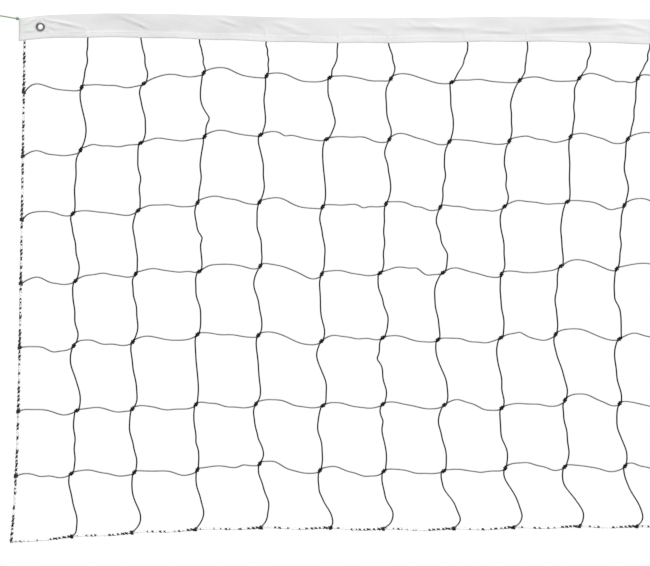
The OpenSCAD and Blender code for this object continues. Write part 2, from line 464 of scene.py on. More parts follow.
def rings_along(points, outward, radius, sides):
    """Rings of vertices round a line of points. outward is a direction that is nearly square to the line."""
    points = np.asarray(points, float)
    tangent = unit(np.gradient(points, axis=0))
    outward = np.broadcast_to(np.asarray(outward, float), points.shape)
    first = unit(outward - (outward * tangent).sum(1, keepdims=True) * tangent)
    second = np.cross(tangent, first)
    angle = 2 * math.pi * np.arange(sides) / sides
    radius = np.broadcast_to(radius, len(points))[:, None, None]
    around = np.cos(angle)[None, :, None] * first[:, None] + np.sin(angle)[None, :, None] * second[:, None]
    return points[:, None] + radius * around


# Painted highlight: a lighter colour on the upper side of each twine stands in for the overhead light's sheen, and a
# level twine gets it further round.
PAINTED_SHEEN_LEVEL = 0.75
PAINTED_SHEEN_STARTS, PAINTED_SHEEN_RANGE = 0.12, 0.72


class Strands:
    """A mesh of many swept cords, with a UV map of length along and way round, and each point's share of painted
    highlight.
    """

    def __init__(self):
        self.vertices, self.faces, self.uvs, self.dust, self.smooth = [], [], [], [], []
        self.count = 0

    def add(self, rings, dusty=True):
        """Adds one cord, with flat ends, and, unless told otherwise, with a painted highlight on its upper side."""
        rings = np.asarray(rings)
        length, sides = rings.shape[:2]
        middle = rings.mean(1)
        upward = unit(rings - middle[:, None])[..., 2]
        level = 1 - np.abs(unit(np.gradient(middle, axis=0))[:, 2:])
        # Painted highlight: more of it towards the twine's upper side and on level twines, where the overhead light
        # glints.
        dust = np.clip((upward + PAINTED_SHEEN_LEVEL * level - PAINTED_SHEEN_STARTS) / PAINTED_SHEEN_RANGE, 0, 1)
        self.dust.append((dust if dusty else 0 * dust).ravel())
        along = np.concatenate([[0], np.cumsum(np.linalg.norm(np.diff(middle, axis=0), axis=1))])
        self.vertices.append(rings.reshape(-1, 3))
        for i in range(length - 1):
            for s in range(sides):
                near, far = self.count + i * sides, self.count + (i + 1) * sides
                after = (s + 1) % sides
                self.faces.append((near + s, near + after, far + after, far + s))
                low, high = s / sides, (s + 1) / sides
                self.uvs += [(along[i], low), (along[i], high), (along[i + 1], high), (along[i + 1], low)]
        for start, order in ((0, range(sides - 1, -1, -1)), (length - 1, range(sides))):
            self.faces.append(tuple(self.count + start * sides + s for s in order))
            self.uvs += [(along[start], s / sides) for s in order]
        self.smooth += [True] * ((length - 1) * sides) + [False] * 2
        self.count += length * sides

    def build(self, name, material, slot):
        mesh = bpy.data.meshes.new(name)
        mesh.from_pydata(np.concatenate(self.vertices).tolist(), [], self.faces)
        layer = mesh.uv_layers.new(name="strand")
        layer.data.foreach_set("uv", np.asarray(self.uvs, np.float32).ravel())
        dust = mesh.attributes.new("dust", "FLOAT", "POINT")
        dust.data.foreach_set("value", np.concatenate(self.dust).astype(np.float32))
        return finish_mesh(name, mesh, material, slot, self.smooth)


def finish_mesh(name, mesh, material, slot, smooth=None):
    """Makes the piece of a mesh. smooth says which faces are shaded smooth: all of them if it isn't given."""
    mesh.polygons.foreach_set("use_smooth", smooth or [True] * len(mesh.polygons))
    mesh.materials.append(material)
    piece = bpy.data.objects.new(name, mesh)
    bpy.context.collection.objects.link(piece)
    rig.slot(piece, slot)
    return piece


def hermite(start, end, leave, arrive, steps):
    """A smooth curve that leaves start and reaches end with the two given velocities."""
    t = np.linspace(0, 1, steps)[:, None]
    start, end, leave, arrive = (np.asarray(v, float) for v in (start, end, leave, arrive))
    return (
        (2 * t**3 - 3 * t**2 + 1) * start
        + (t**3 - 2 * t**2 + t) * leave
        + (3 * t**2 - 2 * t**3) * end
        + (t**3 - t**2) * arrive
    )


def coil_round(points, radius, turns, phase=0.0):
    """A helix round a line of points, and its outward directions. radius may change along the line."""
    points = np.asarray(points, float)
    tangent = unit(np.gradient(points, axis=0))
    first = unit(np.cross(tangent, BACKWARDS))
    second = np.cross(tangent, first)
    angle = phase + 2 * math.pi * np.linspace(0, turns, len(points))
    outward = np.cos(angle)[:, None] * first + np.sin(angle)[:, None] * second
    return points + np.broadcast_to(radius, len(points))[:, None] * outward, outward


# ---------- how the net hangs ----------

def end_distance(x):
    """How far x is from the nearer side cord, and which side that is: -1 left, 1 right."""
    left, right = x - SIDES_X[0], SIDES_X[1] - x
    return max(min(left, right), 0), -1 if left < right else 1


def depth(z):
    """0 at the first fold line, just under the headband, and 1 at the bottom cord."""
    return min(max((FOLD_Z[0] - z) / (FOLD_Z[0] - BOTTOM_Z), 0), 1)


def fade(away, reach):
    """1 at an end of the net, and ever less further away from it: about a third at the reach."""
    return math.exp(-away / reach)


def swell(away, height, crest, length):
    """A wave along the net, with its height, its crest's distance from the end, and its length."""
    return height * math.cos(2 * math.pi * (away - crest) / length)


def hang(x, z):
    """Where a point of the straight grid hangs: the ends droop and splay outwards, and the middle drifts."""
    away, side = end_distance(x)
    down = depth(z)
    at_end = fade(away, 0.10)
    splay = side * (0.014 * down + 0.010 * down**8) * at_end
    swing = 0.031 - swell(away, 0.017, crest=0.45, length=2.4)
    drift = -swing * (1 - (2 * down**1.8 - 1) ** 4) * (1 - at_end)
    droop = -(0.016 + 0.007 * down**8) * min(1, 12 * down) * fade(away, 0.18)
    wave = swell(away, 0.0075 * (1 - 0.7 * down), crest=0.39, length=0.64)
    sag = 0.0105 * math.sin(2 * math.pi * down) + 0.0050 * math.sin(math.pi * down) + 0.003 * down
    return x + splay + drift, z + droop + (wave + sag) * (1 - fade(away, 0.14))


def band_end_distance(x):
    """How far x is from the nearer end of the headband."""
    return max(min(x - BAND_LOW.x, BAND_HIGH.x - x), 0)


def band_wave(x):
    """How far the headband rises or dips along its length. It is level at both ends."""
    away = band_end_distance(x)
    long_wave = swell(away, 0.0063, crest=-0.27, length=4.0)
    short_wave = swell(away, 0.0029, crest=-0.20, length=0.76)
    return (1 - fade(away, 0.045)) * (0.0005 + long_wave - short_wave)


def end_rise(x):
    """How far the bottom edge of the headband rises towards each end, where the vinyl is drawn up."""
    return 0.0032 * fade(band_end_distance(x), 0.16)


def fullness(x):
    """How much further up the fold stands away from the ends of the headband, where nothing draws it in."""
    return 0.0018 * (1 - fade(band_end_distance(x), 0.30))


def band_edge(x):
    """The height of the headband's bottom edge."""
    return BAND_LOW.z + band_wave(x) + end_rise(x)


def spread(rng, sigma, limit):
    """A random offset that is never further out than limit."""
    return min(max(rng.gauss(0, sigma), -limit), limit)


def tilt(rng, low, high):
    """A random angle between two given in degrees."""
    return math.radians(rng.uniform(low, high))


class Knot:
    """A knot's centre and the direction of its lie, lower left to upper right."""

    def __init__(self, column, row, rng):
        x, z = hang(column_x(column), FOLD_Z[row])
        self.x = x + spread(rng, 0.0045, limit=0.016)
        self.z = z + spread(rng, 0.0045, limit=0.016)
        self.y = rng.uniform(-0.0015, 0.0015)
        angle = tilt(rng, 28, 68)
        self.lie = np.array([math.cos(angle), 0, math.sin(angle)])

    def point(self, along, back=0.0):
        """The point this far along the knot's lie, and this far behind it."""
        return np.array([self.x, self.y + back, self.z]) + along * self.lie


def knot_row(row):
    """The knots of one row, left to right."""
    rng = random.Random(KNOT_SEEDS[row - 1])
    return {(column, row): Knot(column, row, rng) for column in range(1, COLUMNS)}


def all_knots():
    """Every knot of the netting, by its column and row."""
    return {place: knot for row in range(1, ROWS) for place, knot in knot_row(row).items()}


def places_near_columns(seed, shift, sigma, limit):
    """A place near each column of upright twine, off it by a shift and a random spread."""
    rng = random.Random(seed)
    return [column_x(c) + shift + spread(rng, sigma, limit) for c in range(1, COLUMNS)]


def side_point(side, z):
    """A point of the side cord. side is 0 at the left and 1 at the right."""
    x, low = hang(SIDES_X[side], z)
    return np.array([x, 0.0, low])


def bottom_point(x):
    """A point of the bottom cord, which is drawn up a little at each column."""
    moved, z = hang(x, BOTTOM_Z)
    cell = (x - column_x(0)) / CELL
    return np.array([moved, 0.0, z + 0.0012 * math.cos(2 * math.pi * cell)])


KNOTS = all_knots()
# Where the upright twines come out from under the headband, and where they are tied to the bottom cord.
EXITS = places_near_columns(EXIT_SEED, shift=0.009, sigma=0.013, limit=0.028)
HITCHES = places_near_columns(HITCH_SEED, shift=-0.006, sigma=0.009, limit=0.018)


# ---------- netting ----------

# How often a twine has a kink, and how far apart the points along it are.
KINK_CHANCE = 0.16
TWINE_STEP = 0.0042
TWINE_SIDES = 6


def twine_rings(line):
    """A twine of the netting along a line of points."""
    return rings_along(line, BACKWARDS, TWINE_R, TWINE_SIDES)


def waviness(points, sideways, rng):
    """Adds a twine's own small bends, and now and then a sharper one where it was folded."""
    t = np.linspace(0, 1, len(points))
    hold = np.sin(math.pi * t) ** 0.7
    wave = rng.uniform(-0.0024, 0.0024) * np.sin(3 * math.pi * t + rng.uniform(0, 3))
    wave += rng.uniform(-0.0010, 0.0010) * np.sin(6 * math.pi * t + rng.uniform(0, 6))
    if rng.random() < KINK_CHANCE:
        place, width = rng.uniform(0.2, 0.85), rng.uniform(0.07, 0.13)
        kink = np.exp(-np.abs((t - place) / width) ** 1.7)
        wave += rng.choice((-1, 1)) * rng.uniform(0.002, 0.008) * kink
    away = rng.uniform(-0.003, 0.003) * np.sin(2 * math.pi * t + rng.uniform(0, 6))
    return points + (hold * wave)[:, None] * np.asarray(sideways) + (hold * away)[:, None] * BACKWARDS


def steps_for(length):
    """How many points a twine of this length gets."""
    return max(8, round(length / TWINE_STEP))


def level_twine(start, end, leave, arrive, rng):
    """A twine between two knots of one row: it leaves rising, dips, and arrives rising."""
    span = np.linalg.norm(end - start)
    first = span * rng.uniform(0.7, 1.4) * np.array([math.cos(leave), 0, math.sin(leave)])
    last = span * rng.uniform(0.7, 1.3) * np.array([math.cos(arrive), 0, math.sin(arrive)])
    return waviness(hermite(start, end, first, last, steps_for(span)), (0, 0, 1), rng)


def upright_twine(start, end, leave, arrive, rng):
    """A twine between two rows: it leaves downwards to the left, swings right, and comes back to the left."""
    span = np.linalg.norm(end - start)
    first = span * rng.uniform(0.7, 1.4) * np.array([-math.sin(leave), 0, -math.cos(leave)])
    last = span * rng.uniform(0.7, 1.4) * np.array([-math.sin(arrive), 0, -math.cos(arrive)])
    return waviness(hermite(start, end, first, last, steps_for(span)), (1, 0, 0), rng)


def add_row(piece, k):
    """The level twines of row k, from one side cord through every knot to the other."""
    rng = random.Random(LEVEL_SEEDS[k - 1])
    left, right = (side_point(side, FOLD_Z[k]) for side in (0, 1))
    for c in range(COLUMNS):
        if c == 0:
            start, leave = left + (BORDER_R, 0, 0), tilt(rng, 8, 62)
        else:
            start, leave = KNOTS[c, k].point(KNOT_HALF, STRAND_STEP), tilt(rng, 4, 42)
        if c == COLUMNS - 1:
            end, arrive = right - (BORDER_R, 0, 0), tilt(rng, 0, 30)
        else:
            end, arrive = KNOTS[c + 1, k].point(-KNOT_HALF, STRAND_STEP), tilt(rng, 2, 40)
        piece.add(twine_rings(level_twine(start, end, leave, arrive, rng)))


def add_knot(piece, knot, rng):
    """A knot drawn tight: two turns wound round the crossing, over the strand that runs through it."""
    core_half = KNOT_HALF + 0.0008
    core = [knot.point(along) for along in np.linspace(-core_half, core_half, 5)]
    # The knot's twine gets none of the painted highlight.
    piece.add(rings_along(core, BACKWARDS, TWINE_R * 1.15, TWINE_SIDES), dusty=False)
    steps = 25
    axis = np.linspace(knot.point(-KNOT_HALF), knot.point(KNOT_HALF), steps)
    bulge = TWINE_R * (0.95 + 0.85 * np.sin(math.pi * np.linspace(0, 1, steps)))
    coil, outward = coil_round(axis, bulge, turns=2.3, phase=rng.uniform(0, 6))
    piece.add(rings_along(coil, outward, TWINE_R, TWINE_SIDES), dusty=False)


def bottom_hook(c):
    """The point of the bottom cord that the upright twine of a column is tied to."""
    return bottom_point(HITCHES[c - 1])


def add_bottom_hitch(piece, place, rng):
    """Two close turns of the upright twine round the bottom cord."""
    half_width = 0.00225
    axis = np.linspace(place - (half_width, 0, 0), place + (half_width, 0, 0), 22)
    coil, outward = coil_round(axis, BORDER_R + TWINE_R * 0.8, turns=1.9, phase=rng.uniform(0, 6))
    # The hitch gets none of the painted highlight.
    piece.add(rings_along(coil, outward, TWINE_R, TWINE_SIDES), dusty=False)


def cell_lines(k):
    """The upright twines between fold line k and the next one, top to bottom."""
    rng = random.Random(UPRIGHT_SEEDS[k])
    for c in range(1, COLUMNS):
        if k == 0:
            start = np.array([EXITS[c - 1], 0.0, band_edge(EXITS[c - 1]) + 0.001])
            leave = tilt(rng, -22, 12)
        else:
            start, leave = KNOTS[c, k].point(-KNOT_HALF, -STRAND_STEP), tilt(rng, 2, 34)
        if k == ROWS - 1:
            end, arrive = bottom_hook(c) + (0, -TWINE_R, BORDER_R), tilt(rng, 38, 74)
        else:
            end, arrive = KNOTS[c, k + 1].point(KNOT_HALF, -STRAND_STEP), tilt(rng, 4, 40)
        yield upright_twine(start, end, leave, arrive, rng)


def add_in_halves(pieces, rings):
    """Adds a cord's first half to one piece and its second half to the next."""
    middle = len(rings) // 2
    pieces[0].add(rings[: middle + 1])
    pieces[1].add(rings[middle:])


def hidden_end(place):
    """The twine from the headband's bottom edge up to the netting's top line, inside the fold."""
    return np.linspace((place, 0, band_edge(place) + 0.0012), (place, 0, HEAD_Z + band_wave(place)), 4)


def make_netting(rng):
    """One piece for each fold line: its knots and level twines, and half of the cells above and below."""
    pieces = [Strands() for _ in range(ROWS + 1)]
    for k in range(ROWS):
        for line in cell_lines(k):
            add_in_halves(pieces[k:k + 2], twine_rings(line))
    for k in range(1, ROWS):
        add_row(pieces[k], k)
        for c in range(1, COLUMNS):
            add_knot(pieces[k], KNOTS[c, k], rng)
    for c in range(1, COLUMNS):
        add_bottom_hitch(pieces[ROWS], bottom_hook(c), rng)
        pieces[0].add(twine_rings(hidden_end(EXITS[c - 1])))
    return [piece.build(f"netting_{k}", TWINE, "twine") for k, piece in enumerate(pieces)]


def bend_at_fold(piece, k):
    """Lets a piece that crosses fold line k bend there. The lowest piece follows the lowest row."""
    if k == ROWS:
        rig.ride(piece, f"mesh_{ROWS}")
        return
    above = "headband" if k == 0 else f"mesh_{k}"
    reach_up, reach_down = (0.002, 0.010) if k == 0 else (0.012, 0.012)
    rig.blend(piece, above, f"mesh_{k + 1}",
             start=(0, 0, FOLD_Z[k] + reach_up), end=(0, 0, FOLD_Z[k] - reach_down))


# ---------- border cord and lacing ----------

BORDER_SIDES = 10
# How much lacing shows away from its knots, down the first cell, down the others and along the bottom.
LACING_IN_TOP_CELL, LACING_DOWN_SIDE, LACING_ALONG_BOTTOM = 0.36, 0.22, -0.02


def side_line(side, k, steps):
    """The side cord between fold line k and the next one, top to bottom. It starts inside the headband."""
    top = band_edge(SIDES_X[side]) + 0.005 if k == 0 else FOLD_Z[k]
    heights = np.linspace(top, FOLD_Z[k + 1], steps)
    return np.array([side_point(side, z) for z in heights])


def bottom_line(start, end, steps):
    """The bottom cord between two places on the straight grid."""
    return np.array([bottom_point(x) for x in np.linspace(start, end, steps)])


def make_border():
    """The white cord, cut at the middle of each cell as the netting is."""
    pieces = [Strands() for _ in range(ROWS + 1)]
    for side in (0, 1):
        for k in range(ROWS):
            line = side_line(side, k, 24)
            add_in_halves(pieces[k:k + 2], rings_along(line, BACKWARDS, BORDER_R, BORDER_SIDES))
    bottom = bottom_line(*SIDES_X, COLUMNS * 8)
    pieces[ROWS].add(rings_along(bottom, BACKWARDS, BORDER_R, BORDER_SIDES))
    return [piece.build(f"border_cord_{k}", WHITE_CORD, "border_cord") for k, piece in enumerate(pieces)]


def patches(along, rng):
    """Uneven soft patches along a cord, between -1 and 1."""
    waves = [np.sin(2 * math.pi * along / rng.uniform(*lengths) + rng.uniform(0, 6))
             for lengths in ((0.010, 0.016), (0.020, 0.032), (0.045, 0.070))]
    return np.clip(sum(waves) / 1.8, -1, 1)


def add_lacing(pieces, line, before_knot, plenty, rng):
    """Black twine on a stretch of border cord: one strand worked in and out of it, and one wound round it.
    Both are proud just before the next knot. Further from it they show in patches, and sink between them."""
    along = np.concatenate([[0], np.cumsum(np.linalg.norm(np.diff(line, axis=0), axis=1))])
    turn = 2 * math.pi * along / LACING_PITCH + rng.uniform(0, 6) + 1.3 * patches(along, rng)
    proud_reach, sunk_start, sunk_fade, patch_share = 0.026, 0.002, 0.008, 0.45
    near_knot = np.exp(-before_knot / proud_reach)
    after_knot = np.clip((along - sunk_start) / sunk_fade, 0, 1)
    patchy = plenty + patch_share * patches(along, rng)
    show = np.clip(near_knot + patchy * (1 - near_knot), 0, 1) * after_knot
    sideways = np.cross(unit(np.gradient(line, axis=0)), BACKWARDS)
    weave, proud, sway = 0.0013, 0.0034, 0.0006
    forward = weave * np.cos(turn) + proud * show - weave
    worked = line - forward[:, None] * BACKWARDS + sway * np.sin(turn)[:, None] * sideways
    reach = 0.0001 + (BORDER_R + 0.0008) * show
    winding = turn + 1.2
    outward = np.cos(winding)[:, None] * sideways - np.sin(winding)[:, None] * BACKWARDS
    wound = line + reach[:, None] * outward
    for strand in (worked, wound):
        add_in_halves(pieces, rings_along(strand, BACKWARDS, TWINE_R * 0.9, 5))


def add_small_knot(piece, place, rng):
    """A small knot of the lacing twine, two turns round the side cord."""
    half_height = np.array([0, 0, 0.0026])
    axis = np.linspace(place - half_height, place + half_height, 24)
    coil, outward = coil_round(axis, BORDER_R + 0.0010, turns=2.0, phase=rng.uniform(0, 6))
    piece.add(rings_along(coil, outward, TWINE_R * 1.1, TWINE_SIDES))


def make_lacing(rng):
    """The black lacing down both sides and along the bottom, with a small knot at each row of knots."""
    pieces = [Strands() for _ in range(ROWS + 1)]
    for side in (0, 1):
        for k in range(ROWS):
            line = side_line(side, k, 150)
            plenty = LACING_IN_TOP_CELL if k == 0 else LACING_DOWN_SIDE
            add_lacing(pieces[k:k + 2], line, line[:, 2] - line[-1, 2], plenty, rng)
            if k < ROWS - 1:
                add_small_knot(pieces[k + 1], line[-1], rng)
    stops = [SIDES_X[0], *HITCHES, SIDES_X[1]]
    for start, end in zip(stops, stops[1:]):
        line = bottom_line(start, end, 100)
        add_lacing([pieces[ROWS]] * 2, line, line[-1, 0] - line[:, 0], LACING_ALONG_BOTTOM, rng)
    return [piece.build(f"lacing_{k}", LACING_TWINE, "twine") for k, piece in enumerate(pieces)]


# ---------- headline ----------

CORD_SIDES = 10


def tail_points(side):
    """The tail's route from the headband's end outwards. side is -1 for the left end and 1 for the right."""
    end = BAND_LOW.x if side < 0 else BAND_HIGH.x
    return [(end + side * out, 0.0, HEADLINE_Z + up) for out, up in TAIL_ROUTE]


def make_tail(side, name):
    """The free end of the headline, held taut by something outside the view."""
    points = tail_points(side)
    strand = Strands()
    strand.add(rings_along(points, BACKWARDS, HEADLINE_R, CORD_SIDES))
    tail = strand.build(f"headline_tail_{name}", GREEN_CORD, "headline_cord")
    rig.ride(tail, "headline")
    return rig.replaces(tail, f"headline_tail_{name}"), points


def make_end_loop(side, name):
    """The loop at the end of a tail: a ring of cord, three turns of knot and a short bare end."""
    tail_end = np.array(tail_points(side)[-1])
    centre = np.array(MOUNTS[f"{name}_end_loop"]["pos_m"])
    outwards = unit(centre - tail_end)
    low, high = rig.box(f"end_loop_{name}")
    radius = (high.z - low.z) / 2 - HEADLINE_R
    steps = 60
    angle = np.linspace(0.1, 2 * math.pi - 0.1, steps)
    up = np.array([-outwards[2], 0, outwards[0]])
    around = np.cos(angle)[:, None] * -outwards + np.sin(angle)[:, None] * up
    ring = centre + radius * around
    ring[:, 1] += np.linspace(-0.0013, 0.0013, steps)
    strand = Strands()
    strand.add(rings_along(ring, around, HEADLINE_R, CORD_SIDES))
    knot_axis = np.linspace(tail_end + 0.0003 * outwards, tail_end + 0.0100 * outwards, steps)
    coil, outward = coil_round(knot_axis, radius=0.0022, turns=3.2)
    strand.add(rings_along(coil, outward, HEADLINE_R, CORD_SIDES))
    strand.add(rings_along(knot_axis[::6], BACKWARDS, HEADLINE_R, CORD_SIDES))
    bare_tip = coil[0] - 0.011 * outwards - (0, 0, 0.005)
    bare_end = hermite(coil[0], bare_tip, -0.01 * outwards, (0, 0, -0.012), 10)
    strand.add(rings_along(bare_end, BACKWARDS, HEADLINE_R * 0.95, CORD_SIDES))
    loop = strand.build(f"end_loop_{name}", GREEN_CORD, "headline_cord")
    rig.ride(loop, "headline")
    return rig.replaces(loop, f"end_loop_{name}")


def make_free_cords():
    """Both tails, declared as cords that end in their knotted loops."""
    steps = np.linalg.norm(np.diff(TAIL_ROUTE, axis=0), axis=1)
    for side, name in ((-1, "left"), (1, "right")):
        tail, points = make_tail(side, name)
        loop = make_end_loop(side, name)
        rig.cord(tail, exit=points[0], length=float(steps.sum()), diameter=2 * HEADLINE_R,
                far_end="knot", stiffness="limp", lay="taut", path=points, with_pieces=[loop])


def make_headline():
    """The headline inside the fold, in two halves. Each turns with the headband, and its end with its tail.
    A knot at each end of the fold stops the band from sliding off."""
    middle = (BAND_LOW.x + BAND_HIGH.x) / 2
    for side, end, name in ((-1, BAND_LOW.x, "left"), (1, BAND_HIGH.x, "right")):
        line = np.array([(x, 0, HEADLINE_Z + band_wave(x)) for x in np.linspace(end, middle, 700)])
        strand = Strands()
        strand.add(rings_along(line, BACKWARDS, HEADLINE_R, 8))
        stopper = np.linspace((end + side * 0.0045, 0, HEADLINE_Z + 0.0003), (end, 0, HEADLINE_Z), 40)
        coil, outward = coil_round(stopper, radius=0.0019, turns=2.4)
        strand.add(rings_along(coil, outward, HEADLINE_R, 8))
        piece = strand.build(f"headline_{name}", GREEN_CORD, "headline_cord")
        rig.blend(piece, "headline", "headband", start=(end, 0, HEADLINE_Z),
                 end=(end - side * 0.02, 0, HEADLINE_Z))
        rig.replaces(piece, "headline")


# ---------- headband ----------

# The length at each end of the band that has its own creases and the finest mesh.
END_ZONE = 1.2
# How much of its given height a crease has in this heavy vinyl.
CREASE_SHARE = 0.8


class Crease:
    """One soft crease in the vinyl. It runs down from its start at an angle below level."""

    def __init__(self, x, z, angle, length, width, height):
        self.start = np.array([x, z])
        self.along = np.array([math.cos(angle), -math.sin(angle)])
        self.length, self.width, self.height = length, width, height

    def lift(self, x, z):
        """How far the crease lifts the vinyl at (x, z): a ridge, and a shallower hollow below it."""
        offset_x, offset_z = x - self.start[0], z - self.start[1]
        along = (offset_x * self.along[0] + offset_z * self.along[1]) / self.length
        across = (offset_x * -self.along[1] + offset_z * self.along[0]) / self.width
        ease = np.clip(1 - (2 * along - 1) ** 2, 0, None)
        ridge = np.exp(-np.abs(across) ** 1.4)
        hollow = 0.6 * np.exp(-((across + 1.3) / 1.1) ** 2)
        return CREASE_SHARE * self.height * ease * (ridge - hollow)


# The creases near each end of the band, in millimetres and degrees: how far from the end and how far below
# the top edge each starts, how steeply it runs down, and its length, width and height.
END_CREASES = [
    (44, 10, 14, 76, 2.7, 2.0),
    (50, 22, 26, 24, 2.4, 1.0),
    (175, 6, 21, 64, 2.9, 1.5),
    (214, 20, 34, 20, 2.2, 1.0),
    (351, 8, 17, 46, 2.7, 1.5),
    (422, 13, 40, 19, 2.2, 1.2),
    (449, 11, 15, 54, 4.5, 1.3),
    (470, 24, 8, 60, 4.0, 1.0),
    (590, 15, 6, 60, 4.2, 1.1),
    (663, 17, 2, 160, 5.0, 1.7),
    (691, 7, 35, 22, 2.5, 1.1),
    (730, 12, 24, 26, 2.6, 1.0),
    (819, 26, 3, 64, 4.5, 1.6),
    (908, 25, -4, 200, 5.5, 1.7),
    (1060, 9, 12, 70, 3.4, 1.1),
]


def mirrored_crease(side, x, z, degrees, *size):
    """A crease that runs away from the left end, or its mirror image at the right, where side is 1."""
    angle = math.radians(degrees)
    return Crease(x, z, angle if side < 0 else math.pi - angle, *size)


def end_creases(end, side):
    """END_CREASES at one end of the band. side is -1 at the left end and 1 at the right."""
    creases = []
    for away, below, degrees, *size in END_CREASES:
        metres = [part / 1000 for part in size]
        x, z = end - side * away / 1000, BAND_HIGH.z - below / 1000
        creases.append(mirrored_crease(side, x, z, degrees, *metres))
    return creases


def scattered_creases(rng, start, end):
    """Creases between two places along the band, most of them running down to the right."""
    creases = []
    x = start
    while x < end:
        z, angle = BAND_HIGH.z - rng.uniform(0.004, 0.024), tilt(rng, 0, 34)
        size = [rng.uniform(*limits) for limits in ((0.03, 0.13), (0.0026, 0.0050), (0.0009, 0.0017))]
        creases.append(Crease(x, z, angle, *size))
        x += rng.uniform(0.03, 0.12)
    return creases


# The creases that fan out from an eyelet, where the band is pulled: how far inwards from the eyelet and how
# far above it each starts, in metres, how steeply it runs down, in degrees, and its length, width and height.
EYELET_CREASES = [
    (-0.031, 0.004, -20, 0.024, 0.0026, 0.0012),
    (-0.030, -0.007, 4, 0.022, 0.0028, 0.0012),
    (-0.022, 0.011, -10, 0.016, 0.0022, 0.0011),
    (-0.007, 0.0165, 72, 0.010, 0.0018, 0.0010),
    (0.000, 0.0175, 86, 0.009, 0.0016, 0.0010),
    (0.006, 0.0165, 60, 0.010, 0.0018, 0.0010),
    (0.008, -0.007, 34, 0.022, 0.0026, 0.0009),
]


def eyelet_creases(x, z, side):
    """EYELET_CREASES round the eyelet at (x, z). side is -1 at the left end and 1 at the right."""
    return [mirrored_crease(side, x - side * inwards, z + up, degrees, *size)
            for inwards, up, degrees, *size in EYELET_CREASES]


# One hem's outline, from its bottom edge up: (depth, height, how freely it creases).
HEM = [
    (0.0012, 0.0003, 0.0), (0.0028, 0.0000, 0.1), (0.0034, 0.0007, 0.15), (0.0034, 0.0017, 0.2),
    (0.0031, 0.0050, 0.3), (0.0027, 0.0086, 0.4), (0.0024, 0.0104, 0.5), (0.0021, 0.0119, 0.7),
]


def fold_outline():
    """The outside of the vinyl from the front hem over the top to the back hem, in points like HEM's, and how
    many of them are in front. The front has the finer steps."""
    flat, top_turn = HEM[-1][0], 0.0017
    sides = []
    for middle_steps, turn_steps in ((17, 5), (7, 4)):
        rise = [(flat, z, min(1, z / 0.014)) for z in np.linspace(0.0136, BAND_HEIGHT - 0.0030, middle_steps)]
        turn = [(flat * math.cos(a), BAND_HEIGHT - top_turn + top_turn * math.sin(a), 0.5 * math.cos(a))
                for a in np.radians(np.linspace(0, 90, turn_steps))[1:]]
        sides.append(HEM + rise + turn)
    front, back = sides
    return [(-y, z, crease) for y, z, crease in front] + back[-2::-1], len(front)


def band_positions():
    """Places along the band: close together at its ends, and closer at each eyelet and each twine's exit."""
    fine, coarse, least = 0.0045, 0.0100, 0.0011
    far_zone = BAND_LENGTH - END_ZONE
    steps = np.concatenate([np.arange(0, END_ZONE, fine), np.arange(END_ZONE, far_zone, coarse),
                            np.arange(far_zone, BAND_LENGTH, fine), [BAND_LENGTH]])
    places = set((BAND_LOW.x + steps).round(6))
    for name in ("left_eyelet", "right_eyelet"):
        places |= set((MOUNTS[name]["pos_m"][0] + np.linspace(-0.028, 0.028, 29)).round(6))
    for place in EXITS:
        places |= set((place + np.linspace(-0.0048, 0.0048, 7)).round(6))
    kept = [BAND_LOW.x]
    for x in sorted(places):
        if x - kept[-1] > least and BAND_HIGH.x - x > least:
            kept.append(x)
    return np.array(kept + [BAND_HIGH.x])


def crease_lift(x, z, creases):
    """How far the creases lift the vinyl from flat at (x, z)."""
    lift = np.zeros_like(x)
    for crease in creases:
        near = np.abs(x - crease.start[0]) < crease.length + 0.02
        lift[near] += crease.lift(x[near], z[near])
    return lift


def twine_lift(x, z, rng):
    """How far the hidden end of each upright twine lifts the vinyl: a low ridge that ends softly."""
    lift = np.zeros_like(x)
    height, width, soft_end = 0.0010, 0.0019, 0.002
    for place in EXITS:
        lean, top = rng.uniform(-0.35, 0.35), rng.uniform(0.010, 0.022)
        near = np.abs(x - place) < 0.03
        up = z[near] - BAND_LOW.z
        across = (x[near] - place - lean * up) / width
        lift[near] += height * np.exp(-across**2) / (1 + np.exp((up - top) / soft_end))
    return lift


